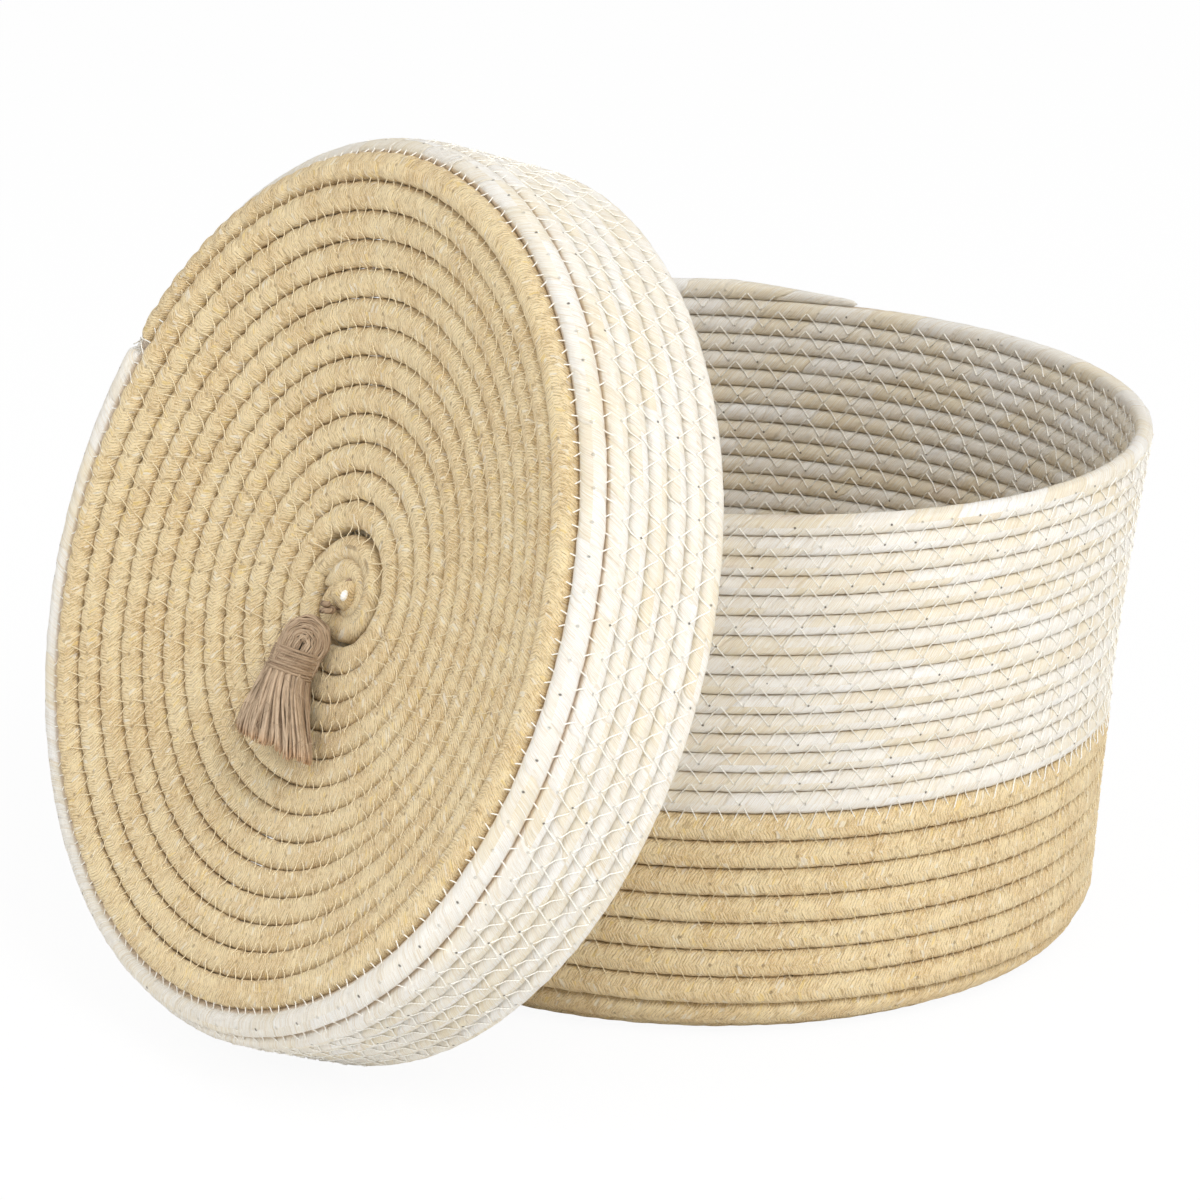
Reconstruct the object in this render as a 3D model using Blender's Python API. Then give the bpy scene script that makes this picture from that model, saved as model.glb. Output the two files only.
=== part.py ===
# Round basket of sewn coiled rope, with its lid leaning on it and a tassel on the lid.
# Metres, +Z up. Origin: middle of the underside of the base, on the floor.
# The lid leans on the -X side. Its own frame has +X to the right, +Y up and +Z outwards,
# as seen by someone who looks at its face, with the origin in the middle of the face.
from math import cos, pi, radians, sin, sqrt

import bmesh
import bpy
import numpy as np
from mathutils import Matrix, Vector
from mathutils.bvhtree import BVHTree

# Rope and cords: width from groove to groove, and the slit between two turns
rope_pitch = 0.0110
basket_cord_pitch = 0.0077
lid_cord_pitch = 0.0087
rope_slit = 0.00073
cord_slit = 0.0005

# Basket: radius to the middle of the rope at the foot of the wall, how much wider
# the mouth is, and the bend from base to wall
foot_radius = 0.1594
mouth_spread = 0.0041
basket_corner_radius = 0.0165
rope_wall_turns = 6.2
cord_wall_turns = 15.35
base_start_angle = radians(352)
cord_taper_length = 0.055

# The soft mouth stands a little out of round, widest along this direction
mouth_oval_share = 0.07
mouth_oval_angle = radians(-34.2)

# Lid: radius to the middle of the rim cord, the bend from face to rim, and how steeply
# the dished face falls away from that bend towards its middle
lid_radius = 0.1700
lid_corner_radius = 0.0134
lid_dish_angle = radians(16.5)
lid_rope_reach = 0.1644
lid_rim_depth = 0.0654
lid_start_angle = radians(180)
lid_tilt = radians(19.4)
lid_side_shift = -0.0559
lean_gap = 0.0004
floor_gap = 0.0003

# Twine loop round the straight start of the lid's rope, and its knot
twine_diameter = 0.0020
twine_gap = 0.0003
loop_spread = 0.0012
loop_end_lift = 0.0009
knot_gap = 0.0003
knot_wraps = 1.5
knot_radius = 0.0024
knot_slit = 0.0006

# Tassel yarn below the knot: its length, half widths and half depths, and its binding
yarn_length = 0.0530
head_half_width = 0.0088
neck_half_width = 0.0084
hem_half_width = 0.0225
head_half_depth = 0.0085
neck_half_depth = 0.0078
hem_half_depth = 0.0130
face_clearance = 0.0005
tassel_lean = radians(5)
binding_diameter = 0.0011
binding_slit = 0.00045
binding_wraps = 4
flute_count = 11
flute_depth_share = 0.10

# Fineness of the turned and wound shapes
turn_points = 18
twine_turn_points = 14
yarn_sides = 36
yarn_rings = 15
loop_steps = 14

# The knot's direction from the rope, turned from straight up towards straight out, and
# how far from it each end of the loop stops
knot_angle = radians(125)
loop_end_angle = radians(14)

# The middle of a coil: a straight start that bends into the first turn, in shares of a
# turn's width, and the angle from which the rope runs on as an even spiral
hook_shares = ((-0.45, 0.0), (0.38, 0.0), (0.74, 0.20), (0.86, 0.62))
hook_end = radians(50)

# Tassel outline: how far down the yarn its tip, head, neck, neck's end and hem are
yarn_length_shares = (0, 0.15, 0.32, 0.44, 1)
tip_size_share = 0.35

# A turn's neighbour on the same tube is looked for past this share of a turn
rest_of_turn_share = 0.8
cord_tip_share = 0.35

# A hexagon's flats lie this share of its radius from the middle
flat_share = cos(pi / 6)

# Colour, roughness
finishes = {
    "rope_cotton": ((0.62, 0.45, 0.24), 0.92),
    "basket_husk": ((0.84, 0.76, 0.60), 0.80),
    "lid_husk": ((0.88, 0.82, 0.68), 0.80),
    "loop_twine": ((0.27, 0.18, 0.11), 0.95),
    "knot_twine": ((0.25, 0.17, 0.10), 0.95),
    "tassel_jute": ((0.30, 0.21, 0.13), 0.95),
    "binding_jute": ((0.24, 0.16, 0.10), 0.95),
}

rope_radius = (rope_pitch - rope_slit) / 2
basket_cord_radius = (basket_cord_pitch - cord_slit) / 2
lid_cord_radius = (lid_cord_pitch - rope_slit) / 2


def clear_scene():
    for thing in list(bpy.data.objects):
        bpy.data.objects.remove(thing, do_unlink=True)


def new_collection(name):
    group = bpy.data.collections.new(name)
    bpy.context.scene.collection.children.link(group)
    return group


def material(name):
    colour, roughness = finishes[name]
    finish = bpy.data.materials.new(name)
    finish.use_nodes = True
    shader = finish.node_tree.nodes["Principled BSDF"]
    shader.inputs["Base Color"].default_value = (*colour, 1)
    shader.inputs["Roughness"].default_value = roughness
    shader.inputs["Metallic"].default_value = 0
    return finish


class Shell:
    """The line that the coil climbs: over the flat or dished face, round the corner, then
    up the wall. Heights run from the crest of the corner."""

    def __init__(self, radius, corner, spread=0, height=0, dish=0):
        self.corner = corner
        self.radius = radius
        self.dish = dish
        self.bend = (radius - corner * (1 + sin(dish))) / sin(dish) if dish else 0
        self.flat = self.bend * dish if dish else radius - corner
        self.arc = corner * (pi / 2 + dish)
        self.slope = spread / height if height else 0

    def at(self, along):
        """Radius, height and lean of the shell at a length along it from the middle."""
        if along <= self.flat:
            if not self.dish:
                return along, 0, 0
            lean = along / self.bend
            height = self.bend * (cos(lean) - cos(self.dish)) + self.corner * (1 - cos(self.dish))
            return self.bend * sin(lean), height, -lean
        lean = (along - self.flat) / self.corner - self.dish
        if lean <= pi / 2:
            radius = self.radius - self.corner * (1 - sin(lean))
            return radius, self.corner * (1 - cos(lean)), lean
        rise = along - self.flat - self.arc
        return self.radius + self.slope * rise, self.corner + rise, pi / 2


def whole_steps(turns):
    return round(turns * turn_points) / turn_points


def turn_steps(turns):
    return np.arange(round(turns * turn_points) + 1) / turn_points


def rope_path(shell, turns, start_angle, winding):
    """One rope from the middle of the flat outwards, as (along, angle) steps."""
    steps = []
    for across, side in hook_shares:
        steps.append((across * rope_pitch, side * rope_pitch, None))
    for turn in turn_steps(turns):
        if 2 * pi * turn > hook_end:
            steps.append((rope_pitch * (1 + turn), start_angle + winding * 2 * pi * turn, turn))
    return steps


def cord_path(first, turns, lower_pitch, own_pitch, start_angle, winding):
    """A cord that rests on the turn before it, as (along, angle) steps."""
    steps = []
    for turn in turn_steps(turns):
        along = first + lower_pitch * min(turn, 1) + own_pitch * max(turn - 1, 0)
        steps.append((along, start_angle + winding * 2 * pi * turn, turn))
    return steps


def place(shell, step, start_angle, winding, drop, upward, oval):
    """A point in space and its tilt, for one step of a coil."""
    first, second, turn = step
    if turn is None:
        across, side = first, second * winding
        point = Vector((across, side, 0))
        point.rotate(Matrix.Rotation(start_angle, 3, "Z"))
        return point + Vector((0, 0, upward * (drop + shell.at(0)[1]))), 0
    radius, height, lean = shell.at(first)
    angle = second
    # In the corner the turned hexagon reaches no further out than the flat does
    height = max(height, rope_radius * cos(pi / 6 - abs(lean)) - drop)
    if oval:
        radius *= 1 + oval(height) * cos(2 * (angle - mouth_oval_angle))
    point = Vector((radius * cos(angle), radius * sin(angle), upward * (drop + height)))
    return point, -winding * upward * lean


def tube(name, group, finish, points, radius, tilts=None, shares=None):
    """A round rope, cord or twine along a line of points."""
    line = bpy.data.curves.new(name, "CURVE")
    line.dimensions = "3D"
    line.twist_mode = "Z_UP"
    line.bevel_depth = radius
    line.bevel_resolution = 1
    line.use_fill_caps = True
    strand = line.splines.new("POLY")
    strand.points.add(len(points) - 1)
    for index, point in enumerate(points):
        strand.points[index].co = (*point, 1)
        strand.points[index].tilt = tilts[index] if tilts else 0
        strand.points[index].radius = shares[index] if shares else 1
    piece = bpy.data.objects.new(name, line)
    group.objects.link(piece)
    line.materials.append(material(finish))
    return piece


def report_gap(name, points, radius, skip, shares=None):
    """Print the least gap between turns of one tube, measured on points of its middle line.

    At a bend the tube is thinner by the cosine of half the bend.
    """
    line = np.array([tuple(point) for point in points])
    ways = np.diff(line, axis=0)
    ways /= np.linalg.norm(ways, axis=1)[:, None]
    bends = (ways[:-1] * ways[1:]).sum(axis=1).clip(-1, 1)
    thick = radius * np.array(shares if shares else [1.0] * len(points))
    thick[1:-1] *= np.sqrt((1 + bends) / 2)
    steps = np.linspace(0, 1, 5)[:-1]
    spots = np.concatenate([line[:-1] + step * (line[1:] - line[:-1]) for step in steps])
    sizes = np.concatenate([thick[:-1] + step * (thick[1:] - thick[:-1]) for step in steps])
    order = np.concatenate([np.arange(len(line) - 1) + step for step in steps])
    least = float("inf")
    for spot, size, rank in zip(spots, sizes, order):
        others = np.abs(order - rank) > skip
        gaps = np.linalg.norm(spots[others] - spot, axis=1) - sizes[others] - size
        least = min(least, gaps.min(initial=least))
    print(f"{name}: least gap to itself {1000 * least:.2f} mm")


def surface(piece, matrix):
    """A piece's faces, and points all along its edges, moved by a matrix."""
    graph = bpy.context.evaluated_depsgraph_get()
    mesh = bpy.data.meshes.new_from_object(piece.evaluated_get(graph))
    corners = np.array([tuple(matrix @ vertex.co) for vertex in mesh.vertices])
    faces = [tuple(polygon.vertices) for polygon in mesh.polygons]
    ends = np.array([tuple(edge.vertices) for edge in mesh.edges])
    bpy.data.meshes.remove(mesh)
    steps = np.linspace(0, 1, 6)[:-1, None, None]
    points = corners[ends[:, 0]] * (1 - steps) + corners[ends[:, 1]] * steps
    return corners, faces, points.reshape(-1, 3)


def mouth_oval(height):
    return mouth_oval_share * (height / wall_rise) ** 2


# Heights that follow from the turns and the twine
rope_drop = rope_radius * flat_share
loop_radius = rope_radius + twine_gap + twine_diameter / 2
knot_reach = knot_radius + twine_diameter / 2
knot_distance = loop_radius + twine_diameter / 2 + knot_gap + knot_reach
neck_reach = neck_half_depth + twine_gap + binding_diameter
wall_rise = basket_corner_radius + rope_wall_turns * rope_pitch + cord_wall_turns * basket_cord_pitch
basket_shell = Shell(foot_radius, basket_corner_radius, mouth_spread, wall_rise)
lid_shell = Shell(lid_radius, lid_corner_radius, dish=lid_dish_angle)
lid_dish_depth = lid_shell.at(0)[1]


def coil(name, group, finish, shell, steps, radius, **way):
    """One rope or cord laid along its steps on a shell."""
    placed = [place(shell, step, way["start"], way["winding"], rope_drop, way["upward"], way["oval"])
              for step in steps]
    points = [point for point, tilt in placed]
    tilts = [tilt for point, tilt in placed]
    piece = tube(name, group, finish, points, radius, tilts, way.get("shares"))
    report_gap(name, points, radius, turn_points * rest_of_turn_share, way.get("shares"))
    return piece


def make_basket(group):
    """The thick rope from the middle of the base up the wall, then the thin cord to the mouth."""
    way = {"start": base_start_angle, "winding": -1, "upward": 1, "oval": mouth_oval}
    along = basket_shell.flat + basket_shell.arc + rope_wall_turns * rope_pitch
    steps = rope_path(basket_shell, whole_steps(along / rope_pitch - 1), way["start"], way["winding"])
    rope = coil("basket_rope", group, "rope_cotton", basket_shell, steps, rope_radius, **way)

    last_along, last_angle, _ = steps[-1]
    first = last_along - rope_pitch / 2 + basket_cord_pitch / 2
    steps = cord_path(first, cord_wall_turns, rope_pitch, basket_cord_pitch, last_angle, way["winding"])
    shares = []
    seated = []
    for along, angle, turn in steps[1:]:
        to_end = (steps[-1][2] - turn) * 2 * pi * foot_radius
        share = min(1, cord_tip_share + (1 - cord_tip_share) * to_end / cord_taper_length)
        shares.append(share)
        seated.append((along - (1 - share) * basket_cord_radius, angle, turn))
    cord = coil("basket_cord", group, "basket_husk", basket_shell, seated, basket_cord_radius,
                shares=shares, **way)
    return rope, cord


def make_lid(group, frame):
    """The rope disc and the rim cord, in the lid's own frame."""
    way = {"start": lid_start_angle, "winding": 1, "upward": -1, "oval": None}
    turns = whole_steps(lid_rope_reach / rope_pitch - 1)
    steps = rope_path(lid_shell, turns, way["start"], way["winding"])
    rope = coil("lid_rope", group, "rope_cotton", lid_shell, steps, rope_radius, **way)

    last_along, last_angle, _ = steps[-1]
    first = last_along - rope_pitch / 2 + lid_cord_pitch / 2
    end = lid_shell.flat + lid_shell.arc + lid_rim_depth - lid_corner_radius - rope_drop
    turns = whole_steps(1 + (end - first - rope_pitch) / lid_cord_pitch)
    steps = cord_path(first, turns, rope_pitch, lid_cord_pitch, last_angle, way["winding"])
    cord = coil("lid_cord", group, "lid_husk", lid_shell, steps[1:], lid_cord_radius, **way)
    rope.parent = frame
    cord.parent = frame
    return rope, cord


def lean_lid(frame, basket_pieces, lid_pieces):
    """Stand the lid on the floor and lean it on the basket, a hair clear of both."""
    tilt = Matrix((
        (0, sin(lid_tilt), -cos(lid_tilt)),
        (-1, 0, 0),
        (0, cos(lid_tilt), sin(lid_tilt)),
    )).to_4x4()
    lid = [surface(piece, tilt) for piece in lid_pieces]
    height = floor_gap - min(corners[:, 2].min() for corners, _, _ in lid)
    trees = []
    for piece in basket_pieces:
        corners, faces, _ = surface(piece, Matrix())
        trees.append(BVHTree.FromPolygons(corners.tolist(), faces))

    def is_clear(distance):
        place_ = np.array((-distance, lid_side_shift, height))
        for corners, faces, points in lid:
            tree = BVHTree.FromPolygons((corners + place_).tolist(), faces)
            if any(tree.overlap(other) for other in trees):
                return False
            low = points[(points + place_)[:, 0] > points[:, 0].max() - distance - lid_radius / 2]
            if any(other.find_nearest(spot)[3] < lean_gap for spot in (low + place_) for other in trees):
                return False
        return True

    near, far = foot_radius, foot_radius + 2 * lid_radius
    while far - near > lean_gap / 10:
        middle = (near + far) / 2
        if is_clear(middle):
            far = middle
        else:
            near = middle
    frame.matrix_world = Matrix.Translation((-far, lid_side_shift, height)) @ tilt
    print(f"lid middle at {-1000 * far:.1f}, {1000 * lid_side_shift:.1f}, {1000 * height:.1f} mm")


def empty(name, group, parent, spot):
    pivot = bpy.data.objects.new(name, None)
    group.objects.link(pivot)
    pivot.parent = parent
    pivot.location = spot
    return pivot


def make_loop(group, pivot):
    """Twine round the straight start of the rope, through the gaps beside it, open at the knot."""
    first = knot_angle - loop_end_angle
    last = knot_angle + loop_end_angle - 2 * pi
    points = []
    for share in np.arange(loop_steps + 1) / loop_steps:
        angle = first + (last - first) * share
        reach = loop_radius + (loop_end_lift if share in (0, 1) else 0)
        side = loop_spread * (1 - 2 * share)
        points.append(Vector((side, reach * cos(angle), reach * sin(angle))))
    loop = tube("hanging_loop", group, "loop_twine", points, twine_diameter / 2)
    loop.parent = pivot
    report_gap("hanging_loop", points, twine_diameter / 2, loop_steps / 2)


def make_winding(name, group, finish, radii, thickness, slit, wraps, is_ball=False):
    """Twine wound round the tassel's length, as a sleeve or as a ball, about its middle."""
    points = []
    for turn in np.arange(round(wraps * twine_turn_points) + 1) / twine_turn_points:
        angle = 2 * pi * turn
        up = (thickness + slit) * (wraps / 2 - turn)
        share = sqrt(1 - (up / radii[0]) ** 2) if is_ball else 1
        points.append(Vector((share * radii[0] * cos(angle), up, share * radii[1] * sin(angle))))
    piece = tube(name, group, finish, points, thickness / 2)
    piece.data.twist_mode = "MINIMUM"
    report_gap(name, points, thickness / 2, twine_turn_points * rest_of_turn_share)
    return piece


def yarn_size(share, sizes):
    """Half width or half depth at a share of the yarn's length, eased between its stations."""
    place_ = np.interp(share, yarn_length_shares, range(len(sizes)))
    lower = min(int(place_), len(sizes) - 2)
    ease = (1 - cos(pi * (place_ - lower))) / 2
    return sizes[lower] + ease * (sizes[lower + 1] - sizes[lower])


def make_yarn(group, pivot, top, tip_height):
    """The folded yarn, its back along the face: head, bound neck and fluted skirt."""
    widths = (tip_size_share * head_half_width, head_half_width, neck_half_width,
              neck_half_width, hem_half_width)
    depths = (tip_size_share * head_half_depth, head_half_depth, neck_half_depth,
              neck_half_depth, hem_half_depth)
    heights = (tip_height, head_half_depth, neck_reach, neck_reach,
               hem_half_depth * (1 + flute_depth_share))
    neck_end = yarn_length_shares[3]
    mesh = bmesh.new()
    rings = []
    for share in np.linspace(0, 1, yarn_rings):
        flute = flute_depth_share * max(0, (share - neck_end) / (1 - neck_end))
        ring = []
        for side in range(yarn_sides):
            angle = 2 * pi * side / yarn_sides
            swell = 1 + flute * cos(flute_count * angle)
            ring.append(mesh.verts.new((
                yarn_size(share, widths) * swell * cos(angle),
                top - share * yarn_length,
                yarn_size(share, heights) + yarn_size(share, depths) * swell * sin(angle),
            )))
        rings.append(ring)
    for upper, lower in zip(rings, rings[1:]):
        for side in range(yarn_sides):
            after = (side + 1) % yarn_sides
            mesh.faces.new((upper[side], upper[after], lower[after], lower[side]))
    mesh.faces.new(rings[0])
    mesh.faces.new(rings[-1])
    bmesh.ops.recalc_face_normals(mesh, faces=mesh.faces)
    data = bpy.data.meshes.new("tassel_yarn")
    mesh.to_mesh(data)
    mesh.free()
    data.shade_smooth()
    data.materials.append(material("tassel_jute"))
    yarn = bpy.data.objects.new("tassel_yarn", data)
    group.objects.link(yarn)
    yarn.parent = pivot


def make_tassel(group, frame):
    """Loop, knot, yarn and binding, lying down the face from the middle of the lid."""
    loop_pivot = empty("loop_pivot", group, frame, (0, 0, -rope_drop - lid_dish_depth))
    make_loop(group, loop_pivot)
    knot_up = knot_distance * cos(knot_angle)
    knot_out = knot_distance * sin(knot_angle)
    knot = make_winding("tassel_knot", group, "knot_twine", (knot_radius, knot_radius),
                        twine_diameter, knot_slit, knot_wraps, is_ball=True)
    knot.parent = loop_pivot
    knot.location = (0, knot_up, knot_out)

    face_height = rope_drop + face_clearance
    swing_pivot = empty("tassel_pivot", group, loop_pivot, (0, knot_up, face_height))
    swing_pivot.rotation_euler = (-tassel_lean, 0, 0)
    top = -knot_reach - twine_gap
    make_yarn(group, swing_pivot, top, knot_out - face_height)
    neck = yarn_length * (yarn_length_shares[2] + yarn_length_shares[3]) / 2
    seat = twine_gap + binding_diameter / 2
    binding = make_winding("tassel_binding", group, "binding_jute",
                           (neck_half_width + seat, neck_half_depth + seat),
                           binding_diameter, binding_slit, binding_wraps)
    binding.parent = swing_pivot
    binding.location = (0, top - neck, neck_reach)


def main():
    clear_scene()
    group = new_collection("knitting_basket")
    basket = make_basket(group)
    frame = bpy.data.objects.new("lid_frame", None)
    group.objects.link(frame)
    lid = make_lid(group, frame)
    lean_lid(frame, basket, lid)
    make_tassel(group, frame)


main()
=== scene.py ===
from math import cos, pi, radians, sin

import bpy
import numpy as np
from mathutils import Matrix, Vector


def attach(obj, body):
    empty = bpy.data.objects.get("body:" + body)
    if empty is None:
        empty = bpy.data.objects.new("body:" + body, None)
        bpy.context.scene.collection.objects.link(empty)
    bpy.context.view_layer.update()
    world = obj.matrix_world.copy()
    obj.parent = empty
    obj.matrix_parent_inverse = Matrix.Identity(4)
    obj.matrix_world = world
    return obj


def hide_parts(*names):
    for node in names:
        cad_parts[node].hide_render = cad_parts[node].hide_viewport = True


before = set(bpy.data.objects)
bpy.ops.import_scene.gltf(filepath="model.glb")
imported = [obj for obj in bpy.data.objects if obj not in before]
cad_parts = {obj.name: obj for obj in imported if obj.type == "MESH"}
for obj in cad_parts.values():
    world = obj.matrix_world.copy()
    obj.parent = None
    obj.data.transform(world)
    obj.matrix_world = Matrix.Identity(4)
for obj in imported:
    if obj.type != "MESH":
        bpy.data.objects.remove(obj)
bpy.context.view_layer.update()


# Node trees, for shaders and for Geometry Nodes alike

class Web:
    def __init__(self, tree):
        self.tree = tree

    def node(self, kind, settings=None, values=None, out=0):
        made = self.tree.nodes.new(kind)
        for key, value in (settings or {}).items():
            if key == "stops":
                ramp = made.color_ramp
                while len(ramp.elements) < len(value):
                    ramp.elements.new(0.5)
                for element, (position, colour) in zip(ramp.elements, value):
                    element.position = position
                    element.color = (*colour, 1)
            elif key == "captures":
                for socketType, name in value:
                    made.capture_items.new(socketType, name)
            else:
                setattr(made, key, value)
        for key, value in (values or {}).items():
            socket = findSocket(made.inputs, key)
            if isinstance(value, Value):
                self.tree.links.new(value.socket, socket)
            elif isinstance(value, (tuple, list)) and socket.type == "RGBA" and len(value) == 3:
                socket.default_value = (*value, 1)
            else:
                socket.default_value = value
        return Value(self, findSocket(made.outputs, out))

    def maths(self, operation, *values):
        return self.node("ShaderNodeMath", {"operation": operation}, dict(enumerate(values)))

    def mix(self, factor, first, second, blend="MIX"):
        return self.node("ShaderNodeMix", {"data_type": "RGBA", "blend_type": blend},
                         {"Factor_Float": factor, "A_Color": first, "B_Color": second}, "Result_Color")

    def ramp(self, factor, stops):
        return self.node("ShaderNodeValToRGB", {"stops": stops}, {"Fac": factor})

    def vector(self, x=0.0, y=0.0, z=0.0):
        return self.node("ShaderNodeCombineXYZ", None, {"X": x, "Y": y, "Z": z})

    def noise(self, place, scale, detail=2.0, roughness=0.5, distortion=0.0, out="Fac"):
        return self.node("ShaderNodeTexNoise", None, {
            "Vector": place, "Scale": scale, "Detail": detail,
            "Roughness": roughness, "Distortion": distortion}, out)


class Value:
    def __init__(self, web, socket):
        self.web = web
        self.socket = socket

    def __add__(self, other): return self.web.maths("ADD", self, other)
    def __sub__(self, other): return self.web.maths("SUBTRACT", self, other)
    def __rsub__(self, other): return self.web.maths("SUBTRACT", other, self)
    def __mul__(self, other): return self.web.maths("MULTIPLY", self, other)
    def __truediv__(self, other): return self.web.maths("DIVIDE", self, other)
    def __rtruediv__(self, other): return self.web.maths("DIVIDE", other, self)
    def __pow__(self, other): return self.web.maths("POWER", self, other)
    def __abs__(self): return self.web.maths("ABSOLUTE", self)

    def fraction(self):
        return self.web.maths("FRACT", self)

    def output(self, name):
        return Value(self.web, findSocket(self.socket.node.outputs, name))

    def ease(self, low, high, first=0.0, last=1.0):
        return self.web.node("ShaderNodeMapRange", {"interpolation_type": "SMOOTHSTEP"}, {
            "Value": self, "From Min": low, "From Max": high, "To Min": first, "To Max": last})


def findSocket(sockets, key):
    if isinstance(key, int):
        return sockets[key]
    for socket in sockets:
        if socket.identifier == key:
            return socket
    return sockets[key]


# One tree sweeps a section along a line: it makes the ropes, cords, threads and yarn

def makeSweepTree():
    tree = bpy.data.node_groups.new("sweepAlongLine", "GeometryNodeTree")
    face = tree.interface
    face.new_socket("Line", in_out="INPUT", socket_type="NodeSocketGeometry")
    for name, start in (("Half Width", 0.001), ("Half Depth", 0.001), ("Squareness", 2.0),
                        ("Lump Height", 0.0), ("Lump Scale", 100.0), ("Lump Seed", 0.0)):
        face.new_socket(name, in_out="INPUT", socket_type="NodeSocketFloat").default_value = start
    face.new_socket("Sides", in_out="INPUT", socket_type="NodeSocketInt").default_value = 8
    face.new_socket("Finish", in_out="INPUT", socket_type="NodeSocketMaterial")
    face.new_socket("Mesh", in_out="OUTPUT", socket_type="NodeSocketGeometry")
    web = Web(tree)
    entry = tree.nodes.new("NodeGroupInput")
    given = {socket.name: Value(web, socket) for socket in entry.outputs if socket.name}

    curve = web.node("GeometryNodeMeshToCurve", None, {"Mesh": given["Line"]})
    outward = web.node("GeometryNodeInputNamedAttribute", {"data_type": "FLOAT_VECTOR"},
                       {"Name": "outward"})
    curve = web.node("GeometryNodeSetCurveNormal", {"mode": "FREE"},
                     {"Curve": curve, "Normal": outward})
    along = web.node("GeometryNodeSplineParameter", out="Length")
    curve = web.node("GeometryNodeCaptureAttribute", {"captures": [("FLOAT", "Along")]}, {
        "Geometry": curve, "Along": along})
    along = curve.output("Along")

    ring = web.node("GeometryNodeCurvePrimitiveLine", {"mode": "POINTS"}, {"End": (1.0, 0.0, 0.0)})
    ring = web.node("GeometryNodeResampleCurve", {"mode": "COUNT"}, {
        "Curve": ring, "Count": given["Sides"] + 1})
    around = web.node("GeometryNodeSplineParameter", out="Factor")
    ring = web.node("GeometryNodeCaptureAttribute", {"captures": [("FLOAT", "Around")]}, {
        "Geometry": ring, "Around": around})
    around = ring.output("Around")
    angle = around * (2 * pi)
    sides = []
    for wave, size in (("COSINE", "Half Depth"), ("SINE", "Half Width")):
        swing = web.maths(wave, angle)
        power = abs(swing) ** (2 / given["Squareness"])
        sides.append(power * web.maths("SIGN", swing) * given[size])
    ring = web.node("GeometryNodeSetPosition", None, {
        "Geometry": ring, "Position": web.vector(sides[0], sides[1])})

    size = web.node("GeometryNodeInputNamedAttribute", {"data_type": "FLOAT"}, {"Name": "size"})
    mesh = web.node("GeometryNodeCurveToMesh", None, {
        "Curve": curve, "Profile Curve": ring, "Scale": size, "Fill Caps": False})
    mesh = web.node("GeometryNodeStoreNamedAttribute", {"data_type": "FLOAT2", "domain": "CORNER"}, {
        "Geometry": mesh, "Name": "ropeUv", "Value": web.vector(along, around)})
    mesh = web.node("GeometryNodeMergeByDistance", None, {"Geometry": mesh, "Distance": 0.000002})
    place = web.node("GeometryNodeInputPosition")
    moved = web.node("ShaderNodeVectorMath", {"operation": "ADD"}, {
        0: place, 1: web.vector(given["Lump Seed"], given["Lump Seed"])})
    lump = web.noise(moved, given["Lump Scale"], 1.0)
    push = (lump - 0.5) * given["Lump Height"] * size
    offset = web.node("ShaderNodeVectorMath", {"operation": "SCALE"}, {
        "Vector": web.node("GeometryNodeInputNormal"), "Scale": push})
    mesh = web.node("GeometryNodeSetPosition", None, {"Geometry": mesh, "Offset": offset})
    mesh = web.node("GeometryNodeRealizeInstances", None, {"Geometry": mesh})
    mesh = web.node("GeometryNodeSetShadeSmooth", None, {"Geometry": mesh})
    mesh = web.node("GeometryNodeSetMaterial", None, {"Geometry": mesh, "Material": given["Finish"]})
    leave = tree.nodes.new("NodeGroupOutput")
    tree.links.new(mesh.socket, leave.inputs["Mesh"])
    return tree


sweepTree = makeSweepTree()


# Several lines at once: each is a dictionary of points, outward, size and any shader attributes
def sweep(name, lines, finish, place=None, **sizes):
    points, outward, edges, extra = [], [], [], {}
    first = 0
    for line in lines:
        count = len(line["points"])
        points.append(line["points"])
        outward.append(line["outward"])
        edges.append(np.column_stack([np.arange(count - 1), np.arange(1, count)]) + first)
        for key, value in line.items():
            if key not in ("points", "outward"):
                extra.setdefault(key, []).append(np.broadcast_to(value, (count,)))
        first += count
    points = np.concatenate(points)
    outward = np.concatenate(outward)
    if place is not None:
        turn = np.array(place.to_3x3())
        points = points @ turn.T + np.array(place.translation)
        outward = outward @ turn.T
    mesh = bpy.data.meshes.new(name + "Line")
    mesh.vertices.add(len(points))
    mesh.vertices.foreach_set("co", points.astype(np.float32).ravel())
    edges = np.concatenate(edges)
    mesh.edges.add(len(edges))
    mesh.edges.foreach_set("vertices", edges.astype(np.int32).ravel())
    mesh.attributes.new("outward", "FLOAT_VECTOR", "POINT").data.foreach_set(
        "vector", outward.astype(np.float32).ravel())
    for key, values in extra.items():
        mesh.attributes.new(key, "FLOAT", "POINT").data.foreach_set(
            "value", np.concatenate(values).astype(np.float32))
    line = bpy.data.objects.new(name + "Line", mesh)
    bpy.context.scene.collection.objects.link(line)
    modifier = line.modifiers.new("sweep", "NODES")
    modifier.node_group = sweepTree
    inputs = {item.name: item.identifier for item in sweepTree.interface.items_tree
              if item.in_out == "INPUT"}
    for key, value in sizes.items():
        modifier[inputs[key.replace("_", " ")]] = value
    modifier[inputs["Finish"]] = finish
    graph = bpy.context.evaluated_depsgraph_get()
    made = bpy.data.meshes.new_from_object(line.evaluated_get(graph), depsgraph=graph)
    made.name = name
    piece = bpy.data.objects.new(name, made)
    bpy.context.scene.collection.objects.link(piece)
    bpy.data.objects.remove(line)
    bpy.data.meshes.remove(mesh)
    print(f"{name}: {len(made.polygons)} faces")
    return piece


# The coils: where each one runs, and how it faces

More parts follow.
